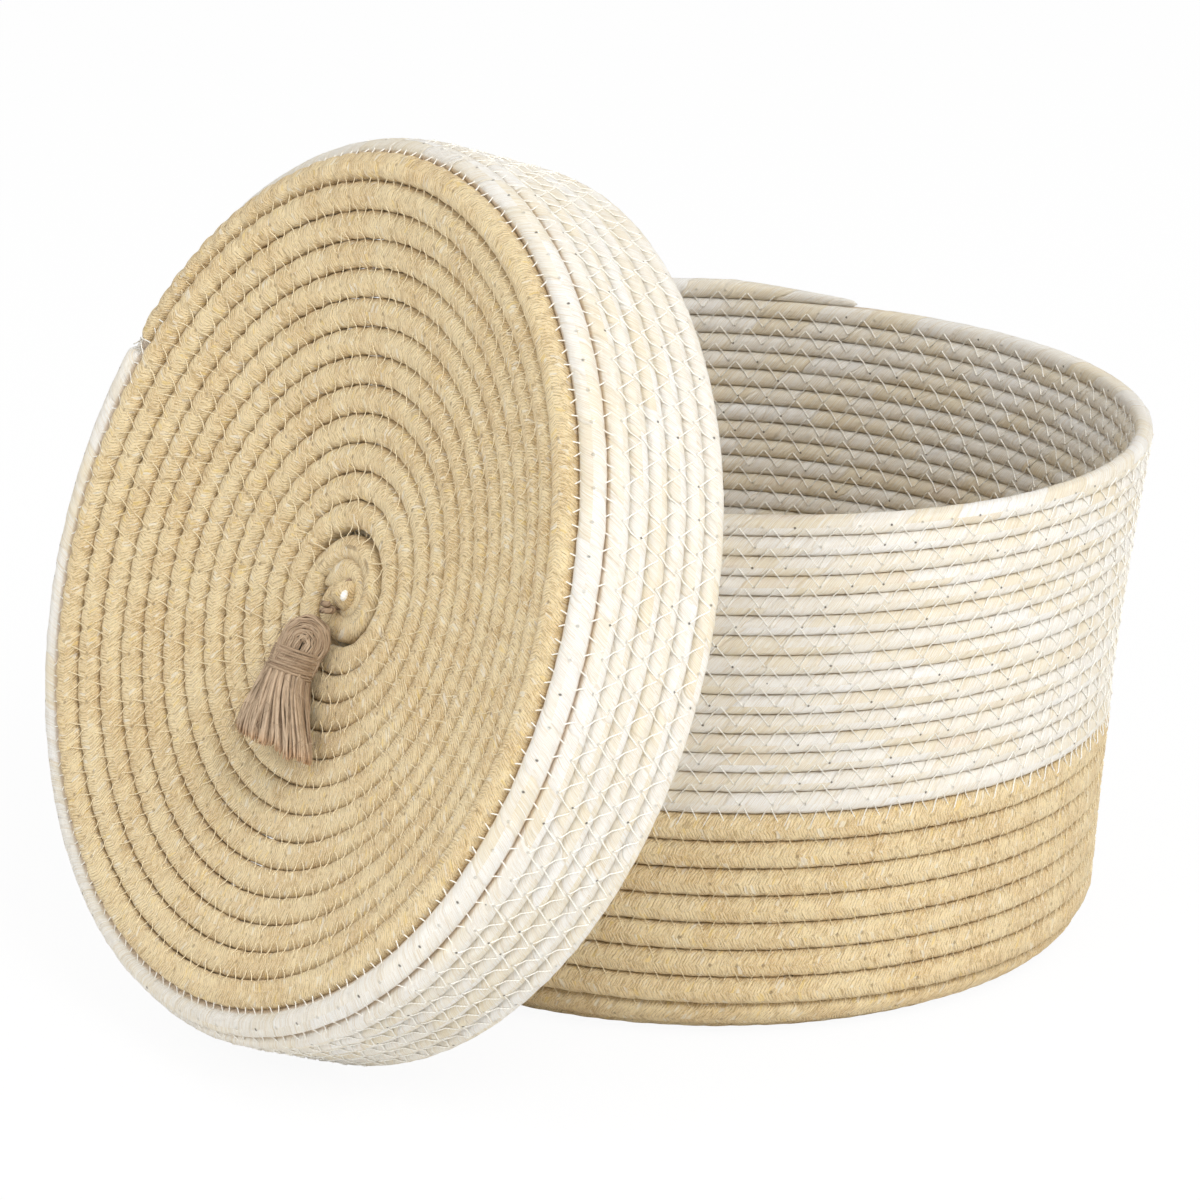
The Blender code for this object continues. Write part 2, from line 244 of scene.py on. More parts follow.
basketSet = {
    "pitch": 0.0110, "cordPitch": 0.0077, "radius": 0.1594, "corner": 0.0165, "spread": 0.0041,
    "wallTurns": 6.2, "cordTurns": 15.35, "start": radians(352), "winding": -1, "upward": 1, "dish": 0,
    "oval": 0.07, "ovalAngle": radians(-34.2), "taper": 0.055, "tipShare": 0.35, "threadSides": 3,
    "cordHalfWidth": 0.00396, "cordHalfDepth": 0.00350, "cordSquareness": 2.45,
    "pinch": 0.035, "pinchMore": 0.0, "pinchAngle": 0.0,
}
lidSet = {
    "pitch": 0.0110, "cordPitch": 0.0087, "radius": 0.1700, "corner": 0.0134, "spread": 0,
    "dish": radians(16.5),
    "reach": 0.1644, "rimDepth": 0.0654, "start": radians(180), "winding": 1, "upward": -1,
    "oval": 0, "ovalAngle": 0, "taper": 0.020, "tipShare": 0.6, "threadSides": 4,
    "cordHalfWidth": 0.00452, "cordHalfDepth": 0.00415, "cordSquareness": 2.5,
    "pinch": 0.035, "pinchMore": 0.080, "pinchAngle": radians(165),
    "place": (-0.221739, -0.0559, 0.181564), "tilt": radians(19.4), "rest": 0.0046,
}
ropeSet = {
    "halfWidth": 0.00552, "halfDepth": 0.00455, "squareness": 3.0, "solidRadius": 0.005135,
    "hook": ((-0.45, 0.0), (0.38, 0.0), (0.74, 0.20), (0.86, 0.62)), "hookEnd": 50 / 360,
    "lump": 0.0006, "cordLump": 0.0007, "pinchReach": 0.0019,
}
ropeDrop = ropeSet["solidRadius"] * cos(pi / 6)
# The solids' turns have straight sides; a round turn of this share lies evenly about them
evenShare = 0.9945

lidFrame = Matrix((
    (0, sin(lidSet["tilt"]), -cos(lidSet["tilt"]), lidSet["place"][0]),
    (-1, 0, 0, lidSet["place"][1]),
    (0, cos(lidSet["tilt"]), sin(lidSet["tilt"]), lidSet["place"][2]),
    (0, 0, 0, 1),
))

coilSet = {
    "stepsPerTurn": 18, "samples": 40000, "tableSamples": 24000, "tableStep": 0.004,
    "joinAt": 2400, "joinStep": 400, "joinRounds": 3, "endRounding": 0.004, "rimBlend": 0.02,
    "leastSize": 0.05,
}


def wholeSteps(turns):
    return round(turns * coilSet["stepsPerTurn"]) / coilSet["stepsPerTurn"]


# Radius, height and lean at a length along the shell: face, bend, then wall
def shellAt(shape, along):
    corner, dish = shape["corner"], shape["dish"]
    lean = np.clip((along - shape["flat"]) / corner - dish, -dish, pi / 2)
    rise = np.maximum(along - shape["flat"] - shape["arc"], 0)
    radius = shape["radius"] - corner * (1 - np.sin(lean)) + shape["slope"] * rise
    height = corner * (1 - np.cos(lean)) + rise
    face = along < shape["flat"]
    if dish:
        bend = shape["flat"] / dish
        radius = np.where(face, bend * np.sin(along / bend), radius)
        height = np.where(face, height + bend * (np.cos(along / bend) - cos(dish)), height)
        lean = np.where(face, -along / bend, lean)
    else:
        radius = np.where(face, along, radius)
    return radius, height, lean


# Fills in what follows from the sizes: turns of rope and cord, and where each begins
def settle(shape):
    dish = shape["dish"]
    arc = shape["corner"] * (pi / 2 + dish)
    flat = shape["radius"] - shape["corner"]
    if dish:
        flat = (shape["radius"] - shape["corner"] * (1 + sin(dish))) / sin(dish) * dish
    shape["flat"], shape["arc"] = flat, arc
    if "reach" in shape:
        reach = shape["reach"]
    else:
        reach = flat + arc + shape["wallTurns"] * shape["pitch"]
    shape["ropeTurns"] = wholeSteps(reach / shape["pitch"] - 1)
    shape["cordStart"] = shape["pitch"] * (shape["ropeTurns"] + 0.5) + shape["cordPitch"] / 2
    if "reach" in shape:
        end = flat + arc + shape["rimDepth"] - shape["corner"] - ropeDrop
        turns = 1 + (end - shape["cordStart"] - shape["pitch"]) / shape["cordPitch"]
        shape["rise"] = shape["rimDepth"]
    else:
        turns = shape["cordTurns"]
        shape["rise"] = (shape["corner"] + shape["wallTurns"] * shape["pitch"]
                         + shape["cordTurns"] * shape["cordPitch"])
    shape["slope"] = shape["spread"] / shape["rise"]
    shape["turns"] = shape["ropeTurns"] + wholeSteps(turns)


# Place, outward direction and half depth of the coil at a count of turns from its middle
def coilAt(shape, turn, cord=None):
    if cord is None:
        cord = isCord(shape, turn)
    past = turn - shape["ropeTurns"]
    cordAlong = (shape["cordStart"] + shape["pitch"] * np.minimum(past, 1)
                 + shape["cordPitch"] * np.maximum(past - 1, 0))
    share = coilSize(shape, turn)
    cordAlong = cordAlong - (1 - share) * shape["cordHalfWidth"]
    along = np.where(cord, cordAlong, shape["pitch"] * (1 + turn))
    radius, height, lean = shellAt(shape, along)
    angle = shape["start"] + shape["winding"] * 2 * pi * turn
    oval = shape["oval"] * (height / shape["rise"]) ** 2
    radius = radius * evenShare * (1 + oval * np.cos(2 * (angle - shape["ovalAngle"])))
    upward = shape["upward"]
    place = np.stack([radius * np.cos(angle), radius * np.sin(angle), upward * (ropeDrop + height)], -1)
    if "place" in shape:
        above = (shape["place"][2] + cos(shape["tilt"]) * place[..., 1]
                 + sin(shape["tilt"]) * place[..., 2] - shape["rest"])
        place[..., 1] += np.maximum(-above, 0) / cos(shape["tilt"])
    outward = np.stack([np.sin(lean) * np.cos(angle), np.sin(lean) * np.sin(angle),
                        -upward * np.cos(lean)], -1)
    depth = np.where(cord, shape["cordHalfDepth"], ropeSet["halfDepth"]) * share
    return place, outward, depth


def isCord(shape, turn):
    return turn > shape["ropeTurns"]


# The cord begins as thick as the rope that it goes on from, and tapers towards its end
def coilSize(shape, turn):
    left = (shape["turns"] - turn) * 2 * pi * shape["radius"]
    thick = shape["pitch"] / shape["cordPitch"] - 1
    begun = np.where(isCord(shape, turn), np.clip(1 + shape["ropeTurns"] - turn, 0, 1), 0)
    tip = shape["tipShare"] + (1 - shape["tipShare"]) * left / shape["taper"]
    tip = np.clip(tip, coilSet["leastSize"], 1)
    return tip + thick * begun


def measure(points):
    return np.concatenate([[0], np.cumsum(np.linalg.norm(np.diff(points, axis=0), axis=1))])


# Cuts a line's corners, which rounds the hook in the middle of a coil
def soften(points, rounds):
    for _ in range(rounds):
        low = points[:-1] * 0.75 + points[1:] * 0.25
        high = points[:-1] * 0.25 + points[1:] * 0.75
        points = np.concatenate([points[:1], np.stack([low, high], 1).reshape(-1, 3), points[-1:]])
    return points


# Rounds both ends of a line: full size a radius away from each tip
def roundEnds(length, radius):
    near = np.minimum(length, length[-1] - length)
    return np.sqrt(np.clip(1 - (1 - np.clip(near / radius, 0, 1)) ** 2, 0, 1))


# Turns against length over the whole coil, so that stitches come at even lengths
def coilTable(shape):
    turns = np.linspace(ropeSet["hookEnd"], shape["turns"], coilSet["tableSamples"])
    place, _, _ = coilAt(shape, turns)
    steps = np.minimum(np.linalg.norm(np.diff(place, axis=0), axis=1), coilSet["tableStep"])
    shape["tableTurns"] = turns
    shape["tableLength"] = np.concatenate([[0], np.cumsum(steps)])


def lengthAt(shape, turn):
    return np.interp(turn, shape["tableTurns"], shape["tableLength"])


# Height of the rope's middle line where the coil begins
def middleHeight(shape):
    return shape["upward"] * (ropeDrop + float(shellAt(shape, np.array(0.0))[1]))


# The stitches draw the rope in, most on the side where they are tightest
def pinchAt(shape, turn, stitches, leg):
    gap = np.abs((stitches * 0.5 + 0.5) % 1 - 0.5) * 2 * leg
    angle = shape["start"] + shape["winding"] * 2 * pi * turn - shape["pinchAngle"]
    strength = shape["pinch"] + shape["pinchMore"] * np.clip(np.cos(angle), 0, 1) ** 0.7
    return 1 - strength * np.exp(-(gap / ropeSet["pinchReach"]) ** 2)


# The line that a rope or cord is swept along; the rope begins with a hook
def coilLine(shape, first, last, cord, step, leg):
    turns = np.linspace(first, last, coilSet["samples"])
    place, outward, _ = coilAt(shape, turns, cord)
    length = measure(place)
    if not cord:
        hook = np.array([(across * shape["pitch"], side * shape["pitch"] * shape["winding"], 0)
                         for across, side in ropeSet["hook"]])
        turn = np.array(Matrix.Rotation(shape["start"], 3, "Z"))
        hook = hook @ turn.T + np.array((0, 0, middleHeight(shape)))
        cut, jump = coilSet["joinAt"], coilSet["joinStep"]
        joined = soften(np.concatenate([hook, place[:cut + jump:jump]]), coilSet["joinRounds"])
        turns = np.concatenate([np.full(len(joined) - 1, first), turns[cut:]])
        outward = np.concatenate([np.repeat(outward[:1], len(joined) - 1, 0), outward[cut:]])
        place = np.concatenate([joined[:-1], place[cut:]])
        length = measure(place)
    at = np.linspace(0, length[-1], int(length[-1] / step) + 2)
    points = np.stack([np.interp(at, length, place[:, axis]) for axis in range(3)], -1)
    faces = np.stack([np.interp(at, length, outward[:, axis]) for axis in range(3)], -1)
    turnsAt = np.interp(at, length, turns)
    stitches = lengthAt(shape, turnsAt) / leg
    size = roundEnds(at, coilSet["endRounding"])
    size = size * (coilSize(shape, turnsAt) if cord else pinchAt(shape, turnsAt, stitches, leg))
    line = {"points": points, "outward": faces, "size": size, "stitches": stitches}
    if cord:
        # rim is 1 on the last turn, where the husk's painted groove shade fades out
        line["rim"] = np.clip((turnsAt - shape["turns"] + 1) / coilSet["rimBlend"], 0, 1)
    return line


# Zigzag seams: the thread leaves a hole in one turn, hugs it, bridges the groove and
# goes down in the next turn
def seamLine(shape, first, last, leg, side, thread):
    counts = np.arange(np.ceil(lengthAt(shape, first) / leg), lengthAt(shape, last) / leg)
    turns = np.interp(counts * leg, shape["tableLength"], shape["tableTurns"])
    turns = turns + (counts % 2)
    place, outward, depth = coilAt(shape, turns)
    outward = outward * side
    crest = place + outward * depth[:, None]
    cord = isCord(shape, turns)
    halfWidth = np.where(cord, shape["cordHalfWidth"], ropeSet["halfWidth"])
    power = np.where(cord, shape["cordSquareness"], ropeSet["squareness"])
    rows = [(crest - outward * thread["sink"])[:-1]]
    faces = [outward[:-1]]
    for share in thread["shares"]:
        owner = slice(None, -1) if share < 0.5 else slice(1, None)
        near = min(share, 1 - share) * (halfWidth[:-1] + halfWidth[1:])
        across = np.clip(near / halfWidth[owner], 0, 1) ** power[owner]
        fall = depth[owner] * (1 - (1 - across) ** (1 / power[owner]))
        lift = thread["lift"] - np.minimum(fall, thread["bridge"])
        middle = crest[:-1] * (1 - share) + crest[1:] * share
        face = outward[:-1] * (1 - share) + outward[1:] * share
        rows.append(middle + face * lift[:, None])
        faces.append(face)
    points = np.stack(rows, 1).reshape(-1, 3)
    faces = np.stack(faces, 1).reshape(-1, 3)
    return {"points": points, "outward": faces, "size": 1.0}


# Finishes

def newFinish(name, roughness):
    finish = bpy.data.materials.new(name)
    finish.use_nodes = True
    web = Web(finish.node_tree)
    shader = finish.node_tree.nodes["Principled BSDF"]
    shader.inputs["Roughness"].default_value = roughness
    return finish, web, shader


def readRope(web):
    uv = web.node("ShaderNodeUVMap", {"uv_map": "ropeUv"})
    split = web.node("ShaderNodeSeparateXYZ", None, {"Vector": uv})
    return split, split.output("Y")


# Length along the turn to the nearest needle hole
def stitchGap(web, leg):
    count = web.node("ShaderNodeAttribute", {"attribute_name": "stitches"}, out="Fac")
    return abs((count * 0.5 + 0.5).fraction() - 0.5) * (2 * leg)


# Where the needle went through: on the middle line of the turn
def holeMask(web, gap, sideways, halfWidth, size):
    across = sideways * halfWidth
    reach = web.maths("SQRT", gap * gap + across * across)
    return reach.ease(size * 0.3, size, 1.0, 0.0)


# deep is the braid's dark tone and also its painted shade in grooves, notches and strand valleys; hole
# is painted shade in the needle holes
cottonSet = {
    "base": (0.728, 0.512, 0.244), "pale": (0.900, 0.726, 0.426), "deep": (0.385, 0.238, 0.088),
    "yellow": (0.880, 0.640, 0.210), "white": (0.930, 0.890, 0.790), "hole": (0.270, 0.165, 0.075),
    "strand": 0.00125, "slant": 3.8, "leg": 0.0050, "holeSize": 0.0009, "relief": 0.00075,
}


# Soft braid: strokes of loose fibre that meet in a V on the rope's middle line
def makeCotton():
    finish, web, shader = newFinish("braidedCotton", 0.93)
    along, around = readRope(web)
    spot = web.node("ShaderNodeTexCoord", out="Object")
    wander = web.noise(spot, 300.0, 2.0) - 0.5
    column = abs((around * 2.0 + 0.5).fraction() * 2.0 - 1.0)
    phase = along / cottonSet["strand"] + column * cottonSet["slant"] + wander
    strand = abs(web.maths("SINE", phase * pi)) ** 0.6
    weave = web.vector(phase * 3.2, along * 260.0 - column * 1.4, around * 6.0)
    fibre = web.noise(weave, 1.0, 4.0, 0.72)
    fuzz = web.noise(spot, 2400.0, 2.0, 0.7)
    sideways = abs(web.maths("SINE", around * (2 * pi)))
    gap = stitchGap(web, cottonSet["leg"])
    odd = web.noise(spot, 90.0, 1.0)
    holes = holeMask(web, gap, sideways, ropeSet["halfWidth"], cottonSet["holeSize"])
    holes = holes * odd.ease(0.48, 0.62)
    notch = gap.ease(0.0, ropeSet["pinchReach"], 1.0, 0.0) * sideways.ease(0.2, 0.95)
    height = strand * 0.45 + fibre * 0.90 + fuzz * 0.55 - holes * 0.9 - notch * 0.8
    patch = web.noise(spot, 55.0, 3.0, 0.6)
    colour = web.mix(patch.ease(0.34, 0.66), cottonSet["base"], cottonSet["pale"])
    # Painted shade in the valleys between the braid's strokes
    colour = web.mix(strand.ease(0.0, 0.80, 0.70, 0.0), colour, cottonSet["deep"])
    colour = web.mix(fibre.ease(0.47, 0.58, 0.0, 0.85), colour, cottonSet["pale"])
    colour = web.mix(fibre.ease(0.38, 0.49, 0.62, 0.0), colour, cottonSet["deep"])
    colour = web.mix(fuzz.ease(0.52, 0.64, 0.0, 0.35), colour, cottonSet["white"])
    flecks = web.node("ShaderNodeTexVoronoi", {"feature": "F1"}, {
        "Vector": web.vector(phase * 1.1, along * 380.0, around * 8.0), "Scale": 1.0}, "Color")
    pick = web.node("ShaderNodeSeparateColor", None, {"Color": flecks})
    colour = web.mix(pick.ease(0.965, 0.98, 0.0, 0.45), colour, cottonSet["yellow"])
    colour = web.mix(pick.output("Green").ease(0.955, 0.97, 0.0, 0.45), colour, cottonSet["white"])
    colour = web.mix(pick.output("Blue").ease(0.965, 0.98, 0.0, 0.40), colour, cottonSet["deep"])
    # Painted groove shade: the rope's sides, where it meets the next turn, are darkened
    colour = web.mix(sideways.ease(0.86, 1.0, 0.0, 0.20), colour, cottonSet["deep"])
    # Painted shade in the notch that each stitch pinches into the rope's sides
    colour = web.mix(notch * 0.20, colour, cottonSet["deep"])
    # Painted shade in the needle holes
    colour = web.mix(holes * 0.55, colour, cottonSet["hole"])
    shader.inputs["Specular IOR Level"].default_value = 0.2
    shader.inputs["Sheen Weight"].default_value = 0.12
    shader.inputs["Sheen Roughness"].default_value = 0.6
    web.tree.links.new(colour.socket, shader.inputs["Base Color"])
    bump = web.node("ShaderNodeBump", None, {
        "Height": height, "Distance": cottonSet["relief"], "Strength": 0.9})
    web.tree.links.new(bump.socket, shader.inputs["Normal"])
    return finish


huskSet = {
    "ivory": (0.905, 0.860, 0.765), "white": (0.935, 0.920, 0.880), "straw": (0.860, 0.765, 0.570),
    "blush": (0.875, 0.785, 0.660), "fibre": (0.690, 0.545, 0.355), "barkAndGrooveShade": (0.560, 0.350, 0.150),
    "speckAndHoleShade": (0.090, 0.065, 0.045),
    "lead": 0.0210, "leg": 0.00615, "holeSize": 0.0006, "relief": 0.00075,
}


# Husk strips wound slantwise round the cord, each of its own tone
def makeHusk(name, seed, strawShare):
    finish, web, shader = newFinish(name, 0.62)
    along, around = readRope(web)
    spot = web.node("ShaderNodeTexCoord", out="Object")
    slant = along / huskSet["lead"] + around
    bend = web.noise(web.vector(along * 60.0 + seed, around * 2.0), 1.0, 2.0) - 0.5
    strip = slant + bend * 0.5
    number = web.maths("FLOOR", strip)
    tone = web.node("ShaderNodeTexWhiteNoise", {"noise_dimensions": "1D"},
                    {"W": number + seed}, "Value")
    edge = web.maths("MINIMUM", strip.fraction(), 1.0 - strip.fraction())
    lines = web.noise(web.vector(slant * 80.0, along * 70.0, seed), 1.0, 4.0, 0.65)
    fine = web.noise(web.vector(slant * 230.0, along * 200.0, seed), 1.0, 2.0, 0.6)
    broad = web.noise(web.vector(along * 16.0 + seed, around * 1.5, seed), 1.0, 3.0, 0.6)
    blend = tone * 0.32 + broad * 0.68 + (lines - 0.5) * 0.55
    colour = web.ramp(blend, [
        (0.28, huskSet["white"]), (0.50, huskSet["ivory"]), (strawShare, huskSet["straw"]),
        (strawShare + 0.10, huskSet["blush"]), (0.97, huskSet["barkAndGrooveShade"])])
    colour = web.mix(lines.ease(0.53, 0.64, 0.0, 0.50), colour, huskSet["fibre"])
    colour = web.mix(lines.ease(0.37, 0.48, 0.75, 0.0), colour, huskSet["white"])
    colour = web.mix(fine.ease(0.52, 0.64, 0.0, 0.42), colour, huskSet["fibre"])
    colour = web.mix(edge.ease(0.0, 0.03, 0.30, 0.0), colour, huskSet["fibre"])
    sideways = abs(web.maths("SINE", around * (2 * pi)))
    rim = web.node("ShaderNodeAttribute", {"attribute_name": "rim"}, out="Fac")
    # Painted groove shade: the cord's sides, where it meets the next turn, are darkened towards bark
    # brown; faded out on the last turn, whose upper side lies open
    colour = web.mix(sideways.ease(0.90, 1.0, 0.0, 0.45) * (1.0 - rim), colour, huskSet["barkAndGrooveShade"])
    cells = web.node("ShaderNodeTexVoronoi", {"feature": "F1"}, {"Vector": spot, "Scale": 210.0})
    cellTone = web.node("ShaderNodeSeparateColor", None, {"Color": cells.output("Color")})
    specks = cells.ease(0.03, 0.10, 1.0, 0.0) * cellTone.ease(0.955, 0.96)
    colour = web.mix(specks * 0.8, colour, huskSet["speckAndHoleShade"])
    gap = stitchGap(web, huskSet["leg"]) + (fine - 0.5) * 0.0010
    holes = holeMask(web, gap, sideways, basketSet["cordHalfWidth"], huskSet["holeSize"])
    dark = web.noise(spot, 130.0, 1.0).ease(0.54, 0.62)
    # Painted shade in some of the needle holes, in the specks' dark tone
    colour = web.mix(holes * dark * 0.85, colour, huskSet["speckAndHoleShade"])
    height = lines * 0.7 + fine * 0.45 + edge.ease(0.0, 0.05) * 0.6 - holes * 0.9
    shader.inputs["Specular IOR Level"].default_value = 0.35
    web.tree.links.new(colour.socket, shader.inputs["Base Color"])
    bump = web.node("ShaderNodeBump", None, {
        "Height": height, "Distance": huskSet["relief"], "Strength": 0.85})
    web.tree.links.new(bump.socket, shader.inputs["Normal"])
    return finish


def makeThread(name, colour, dark, lay):
    finish, web, shader = newFinish(name, 0.7)
    along, around = readRope(web)
    twist = abs(web.maths("SINE", (along / lay + around) * pi))
    spot = web.node("ShaderNodeTexCoord", out="Object")
    tone = web.noise(spot, 180.0, 2.0)
    # Painted shade in the twist grooves between the plies
    mixed = web.mix(twist.ease(0.0, 0.8, 0.6, 0.0), colour, dark)
    mixed = web.mix(tone.ease(0.4, 0.7, 0.0, 0.25), mixed, dark)
    web.tree.links.new(mixed.socket, shader.inputs["Base Color"])
    bump = web.node("ShaderNodeBump", None, {"Height": twist, "Distance": 0.0001, "Strength": 0.6})
    web.tree.links.new(bump.socket, shader.inputs["Normal"])
    return finish


juteSet = {
    "base": (0.310, 0.215, 0.138), "pale": (0.560, 0.425, 0.295), "deep": (0.095, 0.058, 0.032),
    "cut": (0.500, 0.270, 0.120),
}


# Loose jute fibre; twistShare says how far it is spun into a twine of that lay
def makeJute(name, lay, twistShare, cutShare):
    finish, web, shader = newFinish(name, 0.9)
    along, around = readRope(web)
    spot = web.node("ShaderNodeTexCoord", out="Object")
    strandTone = web.node("ShaderNodeAttribute", {"attribute_name": "tone"}, out="Fac")
    lane = along / lay * twistShare + around
    twist = abs(web.maths("SINE", lane * pi)) ** 0.8
    hair = web.noise(web.vector(lane * 5.0, along * 130.0, strandTone * 31.0), 1.0, 4.0, 0.7)
    colour = web.mix(strandTone.ease(0.1, 0.95), juteSet["base"], juteSet["pale"])
    colour = web.mix(hair.ease(0.48, 0.66, 0.0, 0.65), colour, juteSet["pale"])
    colour = web.mix(hair.ease(0.34, 0.48, 0.55, 0.0), colour, juteSet["deep"])
    # Painted shade in the twist grooves, as strong as the fibre is spun
    colour = web.mix(twist.ease(0.0, 0.7, 0.6 * twistShare, 0.0), colour, juteSet["deep"])
    tip = web.node("ShaderNodeAttribute", {"attribute_name": "tip"}, out="Fac")
    colour = web.mix(tip * cutShare, colour, juteSet["cut"])
    patch = web.noise(spot, 160.0, 2.0)
    colour = web.mix(patch.ease(0.5, 0.75, 0.0, 0.3), colour, juteSet["deep"])
    web.tree.links.new(colour.socket, shader.inputs["Base Color"])
    height = twist * twistShare + hair
    bump = web.node("ShaderNodeBump", None, {"Height": height, "Distance": 0.00025, "Strength": 0.9})
    web.tree.links.new(bump.socket, shader.inputs["Normal"])
    shader.inputs["Specular IOR Level"].default_value = 0.2
    return finish


cotton = makeCotton()
basketHusk = makeHusk("basketHusk", 3.7, 0.66)
lidHusk = makeHusk("lidHusk", 11.3, 0.74)
paleThread = makeThread("paleThread", (0.97, 0.95, 0.89), (0.78, 0.71, 0.57), 0.0012)
tanThread = makeThread("tanThread", (0.93, 0.81, 0.56), (0.62, 0.45, 0.22), 0.0012)
jute = makeJute("juteYarn", 0.0300, 0.1, 0.6)
juteTwine = makeJute("juteTwine", 0.0034, 1.0, 0.0)
print("finishes made")


# Basket and lid: one rope and one cord each, and the two seams that sew them

threadSet = {
    "paleRadius": 0.00029, "tanRadius": 0.00022,
    "pale": {"sink": 0.0006, "lift": 0.00018, "bridge": 0.0010,
             "shares": (0.08, 0.25, 0.5, 0.75, 0.92)},
    "tan": {"sink": 0.0011, "lift": 0.00010, "bridge": 0.0009,
            "shares": (0.27, 0.40, 0.60, 0.73)},
    "edge": {"sink": 0.0011, "lift": 0.00016, "bridge": 0.0009,
             "shares": (0.37, 0.45, 0.60, 0.80)},
}
fillSet = {
    "turns": (0.20, 1.0), "points": 70, "size": 0.92, "ending": 0.08, "least": 0.02, "sag": 0.55,
}
nubSet = {
    "across": 0.0010, "length": 0.0062, "raise": 0.0042, "size": 0.92, "droop": 0.5,
    "tip": (0.0052, 0.0004, 0.0072), "tipRadius": 0.0017, "tipStretch": 1.3,
}


# The rope's inner end, tucked in between the hook and the first turn, which the solid leaves open
def middleFill(shape):
    turns = np.linspace(*fillSet["turns"], fillSet["points"])
    inner = shape["pitch"] * (1 + turns) * evenShare - ropeSet["halfWidth"]
    half = (inner - ropeSet["halfWidth"] * fillSet["size"]) / 2
    left = (turns[-1] - turns) / fillSet["ending"]
    half = half * np.sqrt(np.clip(left, fillSet["least"], 1))
    radius = inner - half
    angle = shape["start"] + shape["winding"] * 2 * pi * turns
    raised = (1 - half / ropeSet["halfWidth"]) * ropeSet["halfDepth"] * fillSet["sag"]
    height = middleHeight(shape) - shape["upward"] * raised
    points = np.stack([radius * np.cos(angle), radius * np.sin(angle), height], -1)
    outward = np.tile((0.0, 0.0, -float(shape["upward"])), (len(turns), 1))
    return {"points": points, "outward": outward, "size": half / ropeSet["halfWidth"],
            "stitches": 0.5}


# A bit of white glue-hardened thread at the nub's right side
def nubTip(shape):
    rise = np.linspace(-1, 1, 9)
    x, y, z = nubSet["tip"]
    points = np.stack([np.full(9, x), y + rise * nubSet["tipRadius"] * nubSet["tipStretch"],
                       np.full(9, middleHeight(shape) + z)], -1)
    size = nubSet["tipRadius"] / threadSet["paleRadius"] * np.sqrt(1.02 - rise ** 2)
    return {"points": points, "outward": np.tile((1.0, 0.0, 0.0), (9, 1)), "size": size}


# The rope's end stands up through the loop as a soft nub
def middleNub(shape):
    rise = np.linspace(-1, 1, 15)
    height = middleHeight(shape) + nubSet["raise"]
    points = np.stack([np.full(15, nubSet["across"]), rise * nubSet["length"],
                       height - nubSet["raise"] * nubSet["droop"] * rise ** 2], -1)
    return {"points": points, "outward": np.tile((0.0, 0.0, 1.0), (15, 1)),
            "size": nubSet["size"] * np.sqrt(1.01 - rise ** 2), "stitches": 0.5}


def makeCoil(shape, label, husk, place, body, step, corners):
    settle(shape)
    coilTable(shape)
    rope = coilLine(shape, ropeSet["hookEnd"], shape["ropeTurns"], False, step, cottonSet["leg"])
    ropes = [rope] + ([middleFill(shape), middleNub(shape)] if shape["dish"] else [])
    ropePiece = sweep(label + "Rope", ropes, cotton, place, Half_Width=ropeSet["halfWidth"],
                      Half_Depth=ropeSet["halfDepth"], Squareness=ropeSet["squareness"],
                      Sides=corners, Lump_Height=ropeSet["lump"], Lump_Scale=120.0)
    cord = coilLine(shape, shape["ropeTurns"] + 0.004, shape["turns"], True, step, huskSet["leg"])
    cordPiece = sweep(label + "Cord", [cord], husk, place, Half_Width=shape["cordHalfWidth"],
                      Half_Depth=shape["cordHalfDepth"], Squareness=shape["cordSquareness"],
                      Sides=corners, Lump_Height=ropeSet["cordLump"], Lump_Scale=150.0)
    tanEnd = shape["ropeTurns"] - 1.02
    sides = (1, -1)
    tanSeams = [seamLine(shape, 0.45, tanEnd, cottonSet["leg"], side, threadSet["tan"])
                for side in sides]
    tanPiece = sweep(label + "TanThread", tanSeams, tanThread, place,
                     Half_Width=threadSet["tanRadius"], Half_Depth=threadSet["tanRadius"],
                     Sides=shape["threadSides"])
    cordFrom = shape["ropeTurns"] + 0.01
    cordEnd = shape["turns"] - 1.03
    paleSeams = [seamLine(shape, cordFrom, cordEnd, huskSet["leg"], side, threadSet["pale"])
                 for side in sides]
    paleSeams += [seamLine(shape, tanEnd, cordFrom, cottonSet["leg"], side, threadSet["edge"])
                  for side in sides]
    if shape["dish"]:
        paleSeams.append(nubTip(shape))
    palePiece = sweep(label + "PaleThread", paleSeams, paleThread, place,
                      Half_Width=threadSet["paleRadius"], Half_Depth=threadSet["paleRadius"],
                      Sides=shape["threadSides"])
    for piece in (ropePiece, cordPiece, tanPiece, palePiece):
        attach(piece, body)
    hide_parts(body + "_rope")
    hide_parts(body + "_cord")


makeCoil(basketSet, "basket", basketHusk, None, "basket", 0.0019, 12)
makeCoil(lidSet, "lid", lidHusk, lidFrame, "lid", 0.0013, 14)
print("coils and seams made")


# Tassel, in the lid's frame: x to the right, y up the face, z out of it

